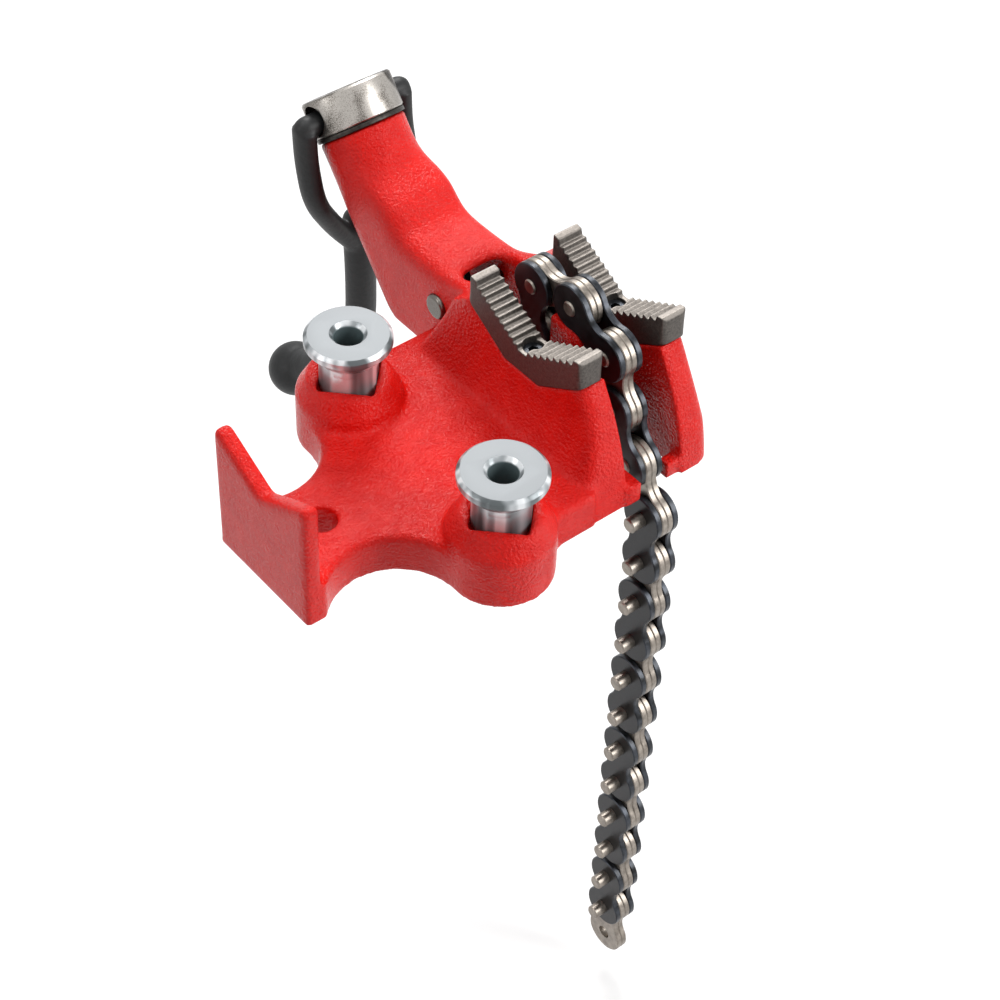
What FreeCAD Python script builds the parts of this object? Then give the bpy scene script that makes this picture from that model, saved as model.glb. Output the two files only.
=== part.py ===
# Chain pipe vise: a cast base that bolts to a bench edge, with a pipe rest at one
# end, two V jaws at the other, and a leaning column whose screw draws a leaf chain
# that is laid over the pipe and hooked by its long pins at the front.
#
# Frame: millimetres, +Z up. Origin on the bottom face, midway between the two
# spools. X runs along the pipe from the rest (-X) to the jaws (+X), and the column
# stands at the back (+Y) while the chain hangs down the front (-Y).
import FreeCAD, Part
import math
import os

V = FreeCAD.Vector
os.makedirs("parts", exist_ok=True)

# Driving dimensions
OVERRUN = 2.0                 # how far every cutting tool runs past the face it cuts
RUN_GAP = 0.05                # radial running clearance of pins and thread
SEAT_GAP = 0.1                # clearance between plates and faces that slide
REST_GAP = 0.3                # clearance under a piece that only lies on another

# foot
FOOT_H = 19.0                 # height of the foot's flat top
FOOT_SKIN = 8.0               # thickness of the top over the hollow underside
FOOT_WALL = 7.0               # thickness of the side walls round the hollow
FOOT_FRONT = 57.5             # front edge of the foot, from the pipe's plane
FOOT_BACK = 66.5              # back edge of the foot
FOOT_ROUND = 2.5              # rounding of the foot's top edge
EAR_R = 23.0                  # round ear under each spool
EAR_H = 24.0                  # height of the ear's upright wall
SPOOL_Y = 50.7                # spool centre from the pipe's plane
SCALLOP_X = -51.0             # centre of the round bay that runs on into the ear
SCALLOP_Y = 49.5
NOOK_R = 10.0                 # blend where an ear meets the straight edge

# bosses and spools
BOSS_H = 33.5                 # top of the boss that carries a spool
BOSS_TOP_R = 17.5
BOSS_ROUND = 2.0
POCKET_HALF = 12.2            # half the square pocket that the spool stands in
POCKET_DEPTH = 6.0
POCKET_TURN = 45.0            # pocket and spool stand on a corner
BOLT_R = 6.2                  # bolt bore through spool and foot
SPOOL_TOP = 55.1
SPOOL_FLANGE_R = 18.8
SPOOL_FACE_R = 17.2
SPOOL_BEVEL = 1.6
SPOOL_RIM_H = 2.6
SPOOL_NECK_R = 13.0
SPOOL_NECK_Z = 44.0           # where the cone under the flange meets the neck
SPOOL_FLAT_Z = 41.0           # top of the four flats that stand in the pocket
SPOOL_SINK_R = 8.0            # countersink of the bore at the top face
SPOOL_SINK_DEPTH = 2.2
CENTRE_BOLT_X = -52.0         # third bolt hole, near the pipe rest
CENTRE_BOLT_R = 6.8
CENTRE_PAD_R = 15.0

# pipe rest
REST_X = -81.2                # outer face
REST_T = 8.0
REST_HALF = 30.5
REST_TOP = 63.0
REST_ROOT = 48.3              # bottom of the V
REST_LAND = 3.0               # flat on each horn
HORN_ROUND = 2.0              # corners of the horns and the V's root
REST_ROUND = 1.8

# jaws: two V jaws, one on each side of the chain
CHAIN_X = 80.2                # plane of chain, column and screw
JAW_W = 13.0
JAW_SPACE = 45.1              # centre to centre
STRIP_HALF = 2.7              # flat strip at the bottom of the V
STRIP_Z = 52.4
TOOTH_COUNT = 6
TOOTH_RISE = 3.45             # steep side of a tooth: up, and outward
TOOTH_LEAN = 0.83
TOOTH_RUN = 3.75              # long side of a tooth: outward, and down again
TOOTH_DROP = 1.0
JAW_TIP_Y = 35.5
JAW_TIP_RISE = 3.2
JAW_SHOULDER_Y = 36.6
JAW_SHOULDER_Z = 57.5
JAW_SOLE_HALF = 11.0
JAW_SOLE_Z = 42.0
JAW_BEVEL = 1.2
JAW_SCREW_R = 3.0
JAW_HEAD_R = 4.4
JAW_HEAD_H = 5.0
JAW_HEAD_SINK = 1.5
JAW_SCREW_L = 20.0
HEX_R = 2.4
HEX_DEPTH = 2.6
HEX_SIDES = 6

# cheeks: the walls that carry the jaws, with the chain's slot between them
CHEEK_OUT = 0.9               # how far the cheek stands out beyond the jaw's side
CHEEK_FLARES = [8.0, 2.0]     # how much wider each cheek gets down to the foot
CHEEK_HOLLOW_Z = 30.0         # height where that widening is mostly over
CHEEK_HOLLOW_SHARE = 0.3      # and the part of it that is left there
CHEEK_NOSE_Y = 34.2           # front edge at the height of the jaw's shoulder
CHEEK_BELLY_Y = 49.5          # halfway down
CHEEK_BELLY_Z = 30.0
CHEEK_TOE_Y = 56.0            # and at the bottom
CHEEK_HEEL_Y = 47.0           # top back corner of the cheek
CHEEK_HEEL_Z = 50.0
CHEEK_ROUND = 6.5             # front outer corner of each cheek
SLOT_HALF = 15.0              # half the width of the chain's slot
SADDLE_FRONT = 7.0            # flat top of the rib that carries the chain
SADDLE_BACK = 9.5
BRIDGE_H = 34.0               # cross wall that joins the rib to the cheeks
BRIDGE_T = 20.0
APRON_GAP = 3.5               # the apron stays this far behind the chain
CLAW_W = 6.0                  # claw that catches a long chain pin
CLAW_H = 10.0
CLAW_SEAT_Y = 50.0
LUG_W = 7.2
LUG_T = 6.0
LUG_H = 8.0

# column
LEAN = 40.0                   # column axis back from the vertical
AXIS_FOOT_Y = 92.0            # where the axis meets the bottom plane
COLUMN_TOP = 87.4             # length of the axis up to the machined top
BARREL_R = 20.5               # also half the width of the housing under it
HOUSE_BACK = 4.0              # housing's back edge behind the axis
HOUSE_ROUND = 6.0
ROOF_FRONT_Y = 62.0           # front edge of the roof over the chain chamber
ROOF_Z = 46.5
ROOF_BACK_Y = 95.0
LEDGE_Y = 103.5               # step from the roof up to the barrel
LEDGE_Z = 56.0
LEDGE_S = 60.0                # where the step runs into the barrel
LEDGE_OUT = 1.5
HOUSE_TOP_S = 79.0            # upper end of the housing's flat sides
ROOF_T = 6.0
MOUTH_HALF = 11.5             # window in front of the roof
CHAMBER_HALF = 14.0
CHAMBER_BACK_Y = 108.0
LOBE_ROOM = 1.3               # room round the chain inside the column
BORE_R = 10.2
GUIDE_R = 3.5                 # cross pin that holds the chain down in the chamber
GUIDE_Y = 66.7
GUIDE_Z = 28.0
GUIDE_HEAD_R = 6.1
GUIDE_HEAD_H = 2.0
GUIDE_HEAD_ROUND = 1.7

# nut, washer, screw, handle
WASHER_T = 2.0
WASHER_OVER = 0.4             # how far washer and nut stand out beyond the barrel
NUT_H = 17.0
NUT_OVER = 0.8
NUT_BEVEL = 0.9
NUT_HOLE_R = 7.0
NUT_HOLE_DEPTH = 8.5
SCREW_R = 9.0
SCREW_TOP = 100.0             # upper end of the screw along the axis, at rest
LEAD = 2.0                    # travel of the screw for one turn of the nut
TURNS = 3.0                   # turns of the nut each way
TONGUE_TOP = 45.0
TONGUE_R = 9.0
EYE_S = 30.0                  # the chain's anchor pin along the axis, at rest
HOOK_R = 5.2                  # rod end in the nut's bore
HOOK_DROP = 1.6               # it hangs this far below the bore's centre
PRONG_HALF_X = 4.9            # forged prong, flattened towards the nut
PRONG_HALF_Y = 6.8
SHANK_R = 7.5
BEND_SHARE = 0.45             # part of the shorter run that a bend takes up
FORK_L = 72.0                 # from the nut's bores down to where the prongs meet
FORK_BACK = 6.0               # how far the prongs bow towards the column
GRIP_L = 122.0                # from there down to the knob's centre
GRIP_OUT = 56.0               # how far the grip curves out behind the vise
KNOB_R = 14.2
KNOB_NECK_R = 11.0
KNOB_NECK_L = 22.0
KNOB_FLAT = 11.5              # knob's centre to its flat end
# a prong from the nut to the crotch: (out along X, towards the column, down)
PRONG_SHARES = [(1.0, 0.0, 0.0), (1.0, 0.15, 0.24), (1.0, 1.0, 0.52), (0.55, 0.75, 0.80),
                (0.0, 0.45, 1.06)]
# the grip from the crotch to the knob: (outwards, down)
GRIP_SHARES = [(0.0, -0.08), (-0.03, 0.18), (-0.02, 0.42), (0.25, 0.68), (1.0, 1.0)]

# chain
PITCH = 25.4
PLATE_T = 3.0
LOBE_R = 10.9
WAIST_HALF = 6.9
PIN_R = 3.5
PLATE_BEVEL = 0.45
PIN_HEAD = 0.8                # rivet head beyond the outer plate
PIN_BEVEL = 0.6
PIN_REACH = 6.9               # how far the long pins stand out on the rest's side
OPEN_PIVOT_R = 4.9            # loose hole where the drawn run meets the laid run
# the laid run: pin A lies behind the saddle; every link then turns on from straight
# down, towards the front
PIN_A_Y = 22.5
PIN_A_Z = 61.3
LAID_ANGLES = [101.0, 62.0, 14.0, 27.0, 30.0, 3.0]
HANGING_LINKS = 11
TAIL_TURN = 183.0             # link Z-A, which climbs from the chamber to A
SHORT_PIN_LINKS = 3           # outer links, from A on, whose pins are short
# the drawn run inside the chamber: its first two links from the screw's eye, above
# straight forward; the other two close the way to pin Z
DRAWN_ANGLES = [-4.6, -19.9]

# Places worked out from them
lean = math.radians(LEAN)
AXIS = V(0, math.sin(lean), math.cos(lean))
FRONT_UP = V(0, -math.cos(lean), math.sin(lean))
AXIS_FOOT = V(CHAIN_X, AXIS_FOOT_Y, 0)
INNER_FACE = PLATE_T + SEAT_GAP       # outer plates, from the chain's plane
OUTER_FACE = INNER_FACE + PLATE_T
JAW_X = [CHAIN_X - JAW_SPACE / 2, CHAIN_X + JAW_SPACE / 2]
CHEEK_IN = [CHAIN_X - SLOT_HALF, CHAIN_X + SLOT_HALF]
CHEEK_OUTER = [JAW_X[0] - JAW_W / 2 - CHEEK_OUT, JAW_X[1] + JAW_W / 2 + CHEEK_OUT]
SCALLOP_R = math.hypot(SCALLOP_X, SPOOL_Y - SCALLOP_Y) - EAR_R
WASHER_R = BARREL_R + WASHER_OVER
NUT_R = BARREL_R + NUT_OVER
NUT_S = COLUMN_TOP + WASHER_T + SEAT_GAP
BORE_S = NUT_S + NUT_H / 2
FORK_X = NUT_R + REST_GAP + PRONG_HALF_X


def on_axis(s, front=0.0, x=CHAIN_X):
    """Point at length s up the column axis, front millimetres before it."""
    p = AXIS_FOOT + AXIS * s + FRONT_UP * front
    return V(x, p.y, p.z)


NUT_BORE = on_axis(BORE_S)
HINGE = NUT_BORE - V(0, 0, HOOK_DROP)
EYE = on_axis(EYE_S)


# Small shape helpers
def box(x0, x1, y0, y1, z0, z1):
    return Part.makeBox(x1 - x0, y1 - y0, z1 - z0, V(x0, y0, z0))


def upright(x, y, z0, z1, r):
    return Part.makeCylinder(r, z1 - z0, V(x, y, z0))


def across(y, z, x0, x1, r):
    return Part.makeCylinder(r, x1 - x0, V(x0, y, z), V(1, 0, 0))


def side_shape(points, x0, x1):
    """Solid whose outline in the YZ plane is points, from x0 to x1."""
    ring = [V(x0, y, z) for y, z in points]
    ring.append(ring[0])
    return Part.Face(Part.makePolygon(ring)).extrude(V(x1 - x0, 0, 0))


def arc_shape(arc, points, along):
    """Solid along a direction: its outline is an arc through three points, then straight."""
    edges = [Part.Arc(*arc).toShape()]
    run = [arc[-1]] + points + [arc[0]]
    for a, b in zip(run, run[1:]):
        edges.append(Part.LineSegment(a, b).toShape())
    return Part.Face(Part.Wire(edges)).extrude(along)


def turned(profile, x, y):
    """Solid of revolution about the upright line at x, y from (radius, z) points."""
    ring = [V(x + r, y, z) for r, z in profile]
    ring.append(ring[0])
    return Part.Face(Part.makePolygon(ring)).revolve(V(x, y, 0), V(0, 0, 1))


def rounded(shape, radius, wanted):
    """Fillet the edges for which wanted(edge) holds."""
    return shape.makeFillet(radius, [e for e in shape.Edges if wanted(e)])


def is_level(edge, z):
    box_ = edge.BoundBox
    return abs(box_.ZMin - z) < SEAT_GAP and abs(box_.ZMax - z) < SEAT_GAP


def save(name, shape):
    shape.exportStep("parts/" + name + ".step")
    print(name, len(shape.Solids), shape.isValid(), round(shape.Volume))


# Base casting
def plan_side(side, edge_y):
    """One long side of the foot's plan, from the pipe rest to the far end."""
    ear = V(0, side * SPOOL_Y, 0)
    bay = V(SCALLOP_X, side * SCALLOP_Y, 0)
    nook = V(math.sqrt((EAR_R + NOOK_R) ** 2 - (edge_y + NOOK_R - SPOOL_Y) ** 2),
             side * (edge_y + NOOK_R), 0)
    start = V(SCALLOP_X - math.sqrt(SCALLOP_R ** 2 - (SCALLOP_Y - REST_HALF) ** 2),
              side * REST_HALF, 0)
    touch = bay + (ear - bay).normalize() * SCALLOP_R
    meet = ear + (nook - ear).normalize() * EAR_R
    land = V(nook.x, side * edge_y, 0)
    halfway = ((meet - nook).normalize() + (land - nook).normalize()).normalize()
    root = V(REST_X + REST_T / 2, side * REST_HALF, 0)
    return [Part.LineSegment(root, start).toShape(),
            Part.Arc(start, bay - V(0, side * SCALLOP_R, 0), touch).toShape(),
            Part.Arc(touch, ear + V(0, side * EAR_R, 0), meet).toShape(),
            Part.Arc(meet, nook + halfway * NOOK_R, land).toShape(),
            Part.LineSegment(land, V(CHEEK_IN[1] + OVERRUN, side * edge_y, 0)).toShape()]


def foot():
    front = plan_side(-1, FOOT_FRONT)
    back = plan_side(1, FOOT_BACK)
    far = Part.LineSegment(front[-1].Vertexes[-1].Point, back[-1].Vertexes[-1].Point).toShape()
    near = Part.LineSegment(front[0].Vertexes[0].Point, back[0].Vertexes[0].Point).toShape()
    ring = Part.Wire(Part.sortEdges(front + back + [far, near])[0])
    body = Part.Face(ring).extrude(V(0, 0, FOOT_H))
    return rounded(body, FOOT_ROUND, lambda e: is_level(e, FOOT_H)
                   and e.BoundBox.XMax < CHEEK_OUTER[0] and e.BoundBox.XLength > FOOT_ROUND)


def foot_hollow():
    """The hollow under the foot, inside its side walls."""
    z0 = -OVERRUN
    z1 = FOOT_H - FOOT_SKIN
    edge = REST_HALF - FOOT_WALL
    body = box(REST_X + REST_T, SCALLOP_R, -edge, edge, z0, z1)
    main = box(-EAR_R / 2, CHEEK_OUTER[1], FOOT_WALL - FOOT_FRONT, FOOT_BACK - FOOT_WALL, z0, z1)
    body = body.fuse(main)
    body = body.fuse(box(SCALLOP_X, -EAR_R / 2 + OVERRUN, -SCALLOP_Y, SCALLOP_Y, z0, z1))
    for side in (-1, 1):
        body = body.fuse(upright(0, side * SPOOL_Y, z0, z1, EAR_R - FOOT_WALL))
    for side in (-1, 1):
        bay = upright(SCALLOP_X, side * SCALLOP_Y, z0 - OVERRUN, z1 + OVERRUN,
                      SCALLOP_R + FOOT_WALL)
        body = body.cut(bay)
    return body.removeSplitter()


def ear_with_boss(side):
    y = side * SPOOL_Y
    profile = [(0, 0), (EAR_R, 0), (EAR_R, EAR_H), (BOSS_TOP_R, BOSS_H), (0, BOSS_H)]
    boss = turned(profile, 0, y)
    return rounded(boss, BOSS_ROUND, lambda e: is_level(e, BOSS_H) or is_level(e, EAR_H))


def spool_seat(side):
    """What is cut from a boss: the square pocket, on its corner, and the bolt bore."""
    y = side * SPOOL_Y
    half = POCKET_HALF
    floor = BOSS_H - POCKET_DEPTH
    pocket = box(-half, half, -half, half, floor, BOSS_H + OVERRUN)
    pocket.rotate(V(0, 0, 0), V(0, 0, 1), POCKET_TURN)
    pocket.translate(V(0, y, 0))
    return pocket.fuse(upright(0, y, -OVERRUN, BOSS_H, BOLT_R))


def rest_plate():
    notch_half = REST_HALF - REST_LAND
    outline = [(-REST_HALF, 0), (REST_HALF, 0), (REST_HALF, REST_TOP),
               (notch_half, REST_TOP), (0, REST_ROOT), (-notch_half, REST_TOP),
               (-REST_HALF, REST_TOP)]
    plate = side_shape(outline, REST_X, REST_X + REST_T)
    plate = rounded(plate, HORN_ROUND, lambda e: e.BoundBox.XLength > REST_T - SEAT_GAP
                    and e.BoundBox.ZMin > FOOT_H)
    return rounded(plate, REST_ROUND, lambda e: e.BoundBox.XLength < SEAT_GAP
                   and e.BoundBox.ZMax > SEAT_GAP)


def jaw_seat():
    """What is cut from the cheeks: the flat and the two flanks that carry the jaws."""
    rise = (JAW_SHOULDER_Z - JAW_SOLE_Z) / (JAW_SHOULDER_Y - JAW_SOLE_HALF)
    far = FOOT_FRONT
    far_z = JAW_SHOULDER_Z + rise * (far - JAW_SHOULDER_Y)
    high = far_z + OVERRUN
    outline = [(-JAW_SOLE_HALF, JAW_SOLE_Z), (JAW_SOLE_HALF, JAW_SOLE_Z),
               (JAW_SHOULDER_Y, JAW_SHOULDER_Z), (JAW_SHOULDER_Y, high), (-far, high), (-far, far_z)]
    return side_shape(outline, CHEEK_OUTER[0] - CHEEK_FLARES[0], CHEEK_OUTER[1] + CHEEK_FLARES[1])


def cheek_front(x):
    """The front edge of the cheeks, from bottom to top, as three points of an arc."""
    return [V(x, -CHEEK_TOE_Y, 0), V(x, -CHEEK_BELLY_Y, CHEEK_BELLY_Z),
            V(x, -CHEEK_NOSE_Y, JAW_SHOULDER_Z + OVERRUN)]


def cheek(side):
    """Wall under one jaw; side 0 faces the pipe rest, side 1 the far end."""
    inner = CHEEK_IN[side]
    outer = CHEEK_OUTER[side]
    out = -1 if side == 0 else 1
    top = JAW_SHOULDER_Z + OVERRUN
    flare = CHEEK_FLARES[side]
    wide = outer + out * flare
    back = [V(inner, JAW_SHOULDER_Y, top), V(inner, JAW_SHOULDER_Y, JAW_SHOULDER_Z),
            V(inner, CHEEK_HEEL_Y, CHEEK_HEEL_Z), V(inner, FOOT_BACK, 0)]
    wall = arc_shape(cheek_front(inner), back, V(wide - inner, 0, 0))
    y0 = -FOOT_FRONT - OVERRUN
    hollow = [V(wide, y0, FOOT_H), V(outer + out * flare * CHEEK_HOLLOW_SHARE, y0, CHEEK_HOLLOW_Z),
              V(outer, y0, top)]
    rest = [V(inner, y0, top), V(inner, y0, 0), V(wide, y0, 0)]
    wall = wall.common(arc_shape(hollow, rest, V(0, FOOT_FRONT + FOOT_BACK + 2 * OVERRUN, 0)))
    wall = rounded(wall, CHEEK_ROUND, lambda e: e.BoundBox.YMax < -CHEEK_NOSE_Y + SEAT_GAP
                   and e.BoundBox.ZLength > FOOT_H / 2 and is_outer(e, inner, outer))
    return wall.cut(jaw_seat())


def is_outer(edge, inner, outer):
    """Whether an edge lies nearer to a cheek's outer face than to its inner one."""
    middle = (edge.BoundBox.XMin + edge.BoundBox.XMax) / 2
    return abs(middle - outer) < abs(middle - inner)


def front_trim():
    """What is cut from the foot so that it ends flush with the fronts of the cheeks."""
    x0 = (CHEEK_OUTER[0] + CHEEK_OUTER[0] - CHEEK_FLARES[0]) / 2
    high = JAW_SHOULDER_Z + OVERRUN
    far = FOOT_FRONT + EAR_R
    rest = [V(x0, -far, high), V(x0, -far, -OVERRUN), V(x0, -CHEEK_TOE_Y, -OVERRUN)]
    return arc_shape(cheek_front(x0), rest, V(FOOT_FRONT + FOOT_BACK, 0, 0))


def housing_outline():
    """Side outline of the housing, from the cheeks back to the barrel."""
    ledge = on_axis(LEDGE_S, BARREL_R + LEDGE_OUT)
    head = on_axis(HOUSE_TOP_S, 0)
    back_top = on_axis(HOUSE_TOP_S, -HOUSE_BACK)
    back_foot = on_axis(-HOUSE_BACK, -HOUSE_BACK)
    slope = (back_top.y - back_foot.y) / (back_top.z - back_foot.z)
    foot_y = back_foot.y - back_foot.z * slope
    return [(FOOT_BACK - EAR_R, 0), (FOOT_BACK - EAR_R, CHEEK_HEEL_Z - ROOF_T),
            (CHEEK_HEEL_Y, CHEEK_HEEL_Z), (ROOF_FRONT_Y, ROOF_Z), (ROOF_BACK_Y, ROOF_Z),
            (LEDGE_Y, LEDGE_Z), (ledge.y, ledge.z), (head.y, head.z),
            (back_top.y, back_top.z), (foot_y, 0)]


def column():
    barrel = Part.makeCylinder(BARREL_R, COLUMN_TOP + BARREL_R, on_axis(-BARREL_R), AXIS)
    house = side_shape(housing_outline(), CHAIN_X - BARREL_R, CHAIN_X + BARREL_R)
    house = rounded(house, HOUSE_ROUND, lambda e: e.BoundBox.XLength < SEAT_GAP
                    and e.BoundBox.ZMin > ROOF_Z - SEAT_GAP and e.BoundBox.YMin > CHEEK_HEEL_Y + OVERRUN
                    and e.BoundBox.YLength > HOUSE_BACK)
    ground = box(CHAIN_X - FOOT_FRONT, CHAIN_X + FOOT_FRONT, 0, 3 * FOOT_BACK, 0, 2 * COLUMN_TOP)
    return barrel.fuse(house).common(ground)


def chain_space():
    """Slot between the cheeks and the chamber under the roof, open below."""
    high = 2 * COLUMN_TOP
    slot = box(CHEEK_IN[0], CHEEK_IN[1], -FOOT_FRONT - OVERRUN, CHEEK_HEEL_Y - OVERRUN,
               -OVERRUN, high)
    mouth = box(CHAIN_X - MOUTH_HALF, CHAIN_X + MOUTH_HALF, 0, ROOF_FRONT_Y,
                -OVERRUN, high)
    roof = [(0, -OVERRUN), (0, ROOF_Z - ROOF_T), (CHAMBER_BACK_Y, ROOF_Z - ROOF_T),
            (CHAMBER_BACK_Y + ROOF_T, ROOF_Z / 2), (CHAMBER_BACK_Y, FOOT_H),
            (ROOF_BACK_Y + ROOF_T, -OVERRUN)]
    chamber = side_shape(roof, CHAIN_X - CHAMBER_HALF, CHAIN_X + CHAMBER_HALF)
    bore = Part.makeCylinder(BORE_R, COLUMN_TOP + 2 * BORE_R, on_axis(-BORE_R), AXIS)
    room = LOBE_R + LOBE_ROOM
    travel = LEAD * TURNS
    low = -BORE_R
    top = EYE_S + travel + room
    ring = [on_axis(low, -room), on_axis(top, -room), on_axis(top, room), on_axis(low, room)]
    half = OUTER_FACE + PIN_HEAD + LOBE_ROOM
    lobe_slot = side_shape([(p.y, p.z) for p in ring], CHAIN_X - half, CHAIN_X + half)
    return slot.fuse(mouth).fuse(chamber).fuse(bore).fuse(lobe_slot)


def saddle():
    """Rib that the laid chain rests on, and the cross wall that carries it."""
    b, c, d, e = laid_pins[1], laid_pins[2], laid_pins[3], laid_pins[4]
    top = b.z - LOBE_R - REST_GAP
    reach = LOBE_R + APRON_GAP
    outline = [(SADDLE_BACK, 0), (SADDLE_BACK, top), (b.y - SADDLE_FRONT + OVERRUN, top)]
    for p, q in ((c, d), (d, e)):
        along = (q - p).normalize()
        away = V(0, -along.z, along.y)
        if away.y < 0:
            away = away * -1
        outline.append((p.y + away.y * reach, p.z + away.z * reach))
    outline.append((e.y + away.y * reach, 0))
    rib = side_shape(outline, CHAIN_X - OUTER_FACE, CHAIN_X + OUTER_FACE)
    bridge = box(CHEEK_IN[0] - OVERRUN, CHEEK_IN[1] + OVERRUN, SADDLE_BACK - BRIDGE_T,
                 SADDLE_BACK, 0, BRIDGE_H)
    return rib.fuse(bridge)


def claw():
    """Hook on the near cheek: a long pin is pulled up into its half-round seat."""
    x0 = CHEEK_IN[0] - OVERRUN
    x1 = CHEEK_IN[0] + CLAW_W
    block = box(x0, x1, -FOOT_FRONT, -CLAW_SEAT_Y + 2 * PIN_R, 0, CLAW_H)
    return block.cut(across(-CLAW_SEAT_Y, 0, x0 - OVERRUN, x1 + OVERRUN, PIN_R + REST_GAP))


def lug():
    x1 = CHEEK_IN[1] + OVERRUN
    return box(CHEEK_IN[1] - LUG_W, x1, -FOOT_FRONT + LUG_T / 2,
               -FOOT_FRONT + LUG_T / 2 + LUG_T, 0, LUG_H)


def base_casting():
    keep = upright(CENTRE_BOLT_X, 0, -OVERRUN, FOOT_H, CENTRE_PAD_R)
    for side in (-1, 1):
        keep = keep.fuse(upright(0, side * SPOOL_Y, -OVERRUN, FOOT_H, BOLT_R + FOOT_WALL))
    keep = keep.fuse(box(CHEEK_OUTER[0] - CHEEK_FLARES[0], CHEEK_OUTER[1] + CHEEK_FLARES[1],
                         -FOOT_FRONT, FOOT_BACK, -OVERRUN, FOOT_H))
    body = foot().cut(foot_hollow().cut(keep)).cut(front_trim())
    for side in (0, 1):
        body = body.fuse(cheek(side))
    body = body.fuse(column())
    body = body.cut(chain_space())
    body = body.fuse(saddle()).fuse(claw()).fuse(lug())
    for side in (-1, 1):
        body = body.fuse(ear_with_boss(side))
    body = body.fuse(rest_plate())
    for side in (-1, 1):
        body = body.cut(spool_seat(side))
    body = body.cut(upright(CENTRE_BOLT_X, 0, -OVERRUN, FOOT_H + OVERRUN, CENTRE_BOLT_R))
    guide = across(GUIDE_Y, GUIDE_Z, CHAIN_X - BARREL_R - OVERRUN,
                   CHAIN_X + BARREL_R + OVERRUN, GUIDE_R)
    body = body.cut(guide)
    for x in JAW_X:
        hole = upright(x, 0, JAW_SOLE_Z - JAW_SCREW_L, JAW_SOLE_Z + OVERRUN, JAW_SCREW_R)
        body = body.cut(hole)
    return body.removeSplitter()


# Pieces that stand on the base
def spool(side):
    floor = BOSS_H - POCKET_DEPTH
    rim_low = SPOOL_TOP - SPOOL_BEVEL - SPOOL_RIM_H
    profile = [(BOLT_R, floor), (SPOOL_NECK_R, floor), (SPOOL_NECK_R, SPOOL_NECK_Z),
               (SPOOL_FLANGE_R, rim_low), (SPOOL_FLANGE_R, SPOOL_TOP - SPOOL_BEVEL),
               (SPOOL_FACE_R, SPOOL_TOP), (SPOOL_SINK_R, SPOOL_TOP),
               (BOLT_R, SPOOL_TOP - SPOOL_SINK_DEPTH)]
    body = turned(profile, 0, side * SPOOL_Y)
    half = POCKET_HALF - SEAT_GAP
    flats = box(-half, half, -half, half, floor - OVERRUN, SPOOL_FLAT_Z)
    wide = upright(0, 0, SPOOL_FLAT_Z, SPOOL_TOP + OVERRUN, SPOOL_FLANGE_R + OVERRUN)
    keep = flats.fuse(wide)
    keep.rotate(V(0, 0, 0), V(0, 0, 1), POCKET_TURN)
    keep.translate(V(0, side * SPOOL_Y, 0))
    return body.common(keep)


def jaw_outline():
    half = [(STRIP_HALF, STRIP_Z)]
    y = STRIP_HALF
    z = STRIP_Z
    for tooth in range(TOOTH_COUNT):
        half.append((y + TOOTH_LEAN, z + TOOTH_RISE))
        y = y + TOOTH_LEAN + TOOTH_RUN
        z = z + TOOTH_RISE - TOOTH_DROP
        half.append((y, z))
    half.append((y + TOOTH_LEAN, z + JAW_TIP_RISE))
    half.append((JAW_TIP_Y - JAW_BEVEL, z + JAW_TIP_RISE + JAW_BEVEL / 2))
    half.append((JAW_TIP_Y, z + JAW_TIP_RISE - JAW_BEVEL))
    half.append((JAW_SHOULDER_Y, JAW_SHOULDER_Z))
    half.append((JAW_SOLE_HALF, JAW_SOLE_Z))
    return half


def jaw(side):
    half = jaw_outline()
    mirror = [(-y, z) for y, z in reversed(half)]
    x0 = JAW_X[side] - JAW_W / 2
    body = side_shape(half + mirror, x0, x0 + JAW_W)
    bore = upright(JAW_X[side], 0, JAW_SOLE_Z - OVERRUN, STRIP_Z + OVERRUN, JAW_SCREW_R + SEAT_GAP)
    head_floor = STRIP_Z - JAW_HEAD_SINK - JAW_HEAD_H
    sink = upright(JAW_X[side], 0, head_floor, STRIP_Z + TOOTH_RISE * 2, JAW_HEAD_R + SEAT_GAP)
    return body.cut(bore).cut(sink)


def jaw_screws():
    screws = []
    for x in JAW_X:
        head_floor = STRIP_Z - JAW_HEAD_SINK - JAW_HEAD_H
        body = upright(x, 0, head_floor, head_floor + JAW_HEAD_H, JAW_HEAD_R)
        body = body.fuse(upright(x, 0, JAW_SOLE_Z - JAW_SCREW_L, head_floor, JAW_SCREW_R))
        corners = [2 * math.pi * k / HEX_SIDES for k in range(HEX_SIDES + 1)]
        key = Part.Face(Part.makePolygon([
            V(x + HEX_R * math.cos(turn), HEX_R * math.sin(turn),
              head_floor + JAW_HEAD_H - HEX_DEPTH) for turn in corners]))
        screws.append(body.cut(key.extrude(V(0, 0, HEX_DEPTH + OVERRUN))))
    return Part.makeCompound(screws)


def guide_pin():
    """Rivet across the column, with a rounded head at each end."""
    x0 = CHAIN_X - BARREL_R
    x1 = CHAIN_X + BARREL_R
    body = across(GUIDE_Y, GUIDE_Z, x0, x1, GUIDE_R)
    for inner, outer in ((x0, x0 - GUIDE_HEAD_H), (x1, x1 + GUIDE_HEAD_H)):
        head = across(GUIDE_Y, GUIDE_Z, min(inner, outer), max(inner, outer), GUIDE_HEAD_R)
        rim = [e for e in head.Edges if e.BoundBox.XLength < SEAT_GAP
               and abs(e.BoundBox.XMin - outer) < SEAT_GAP]
        body = body.fuse(head.makeFillet(GUIDE_HEAD_ROUND, rim))
    return body


# Screw, nut, handle
def washer():
    ring = Part.makeCylinder(WASHER_R, WASHER_T, on_axis(COLUMN_TOP), AXIS)
    return ring.cut(Part.makeCylinder(BORE_R, COLUMN_TOP, on_axis(COLUMN_TOP - OVERRUN), AXIS))


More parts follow.
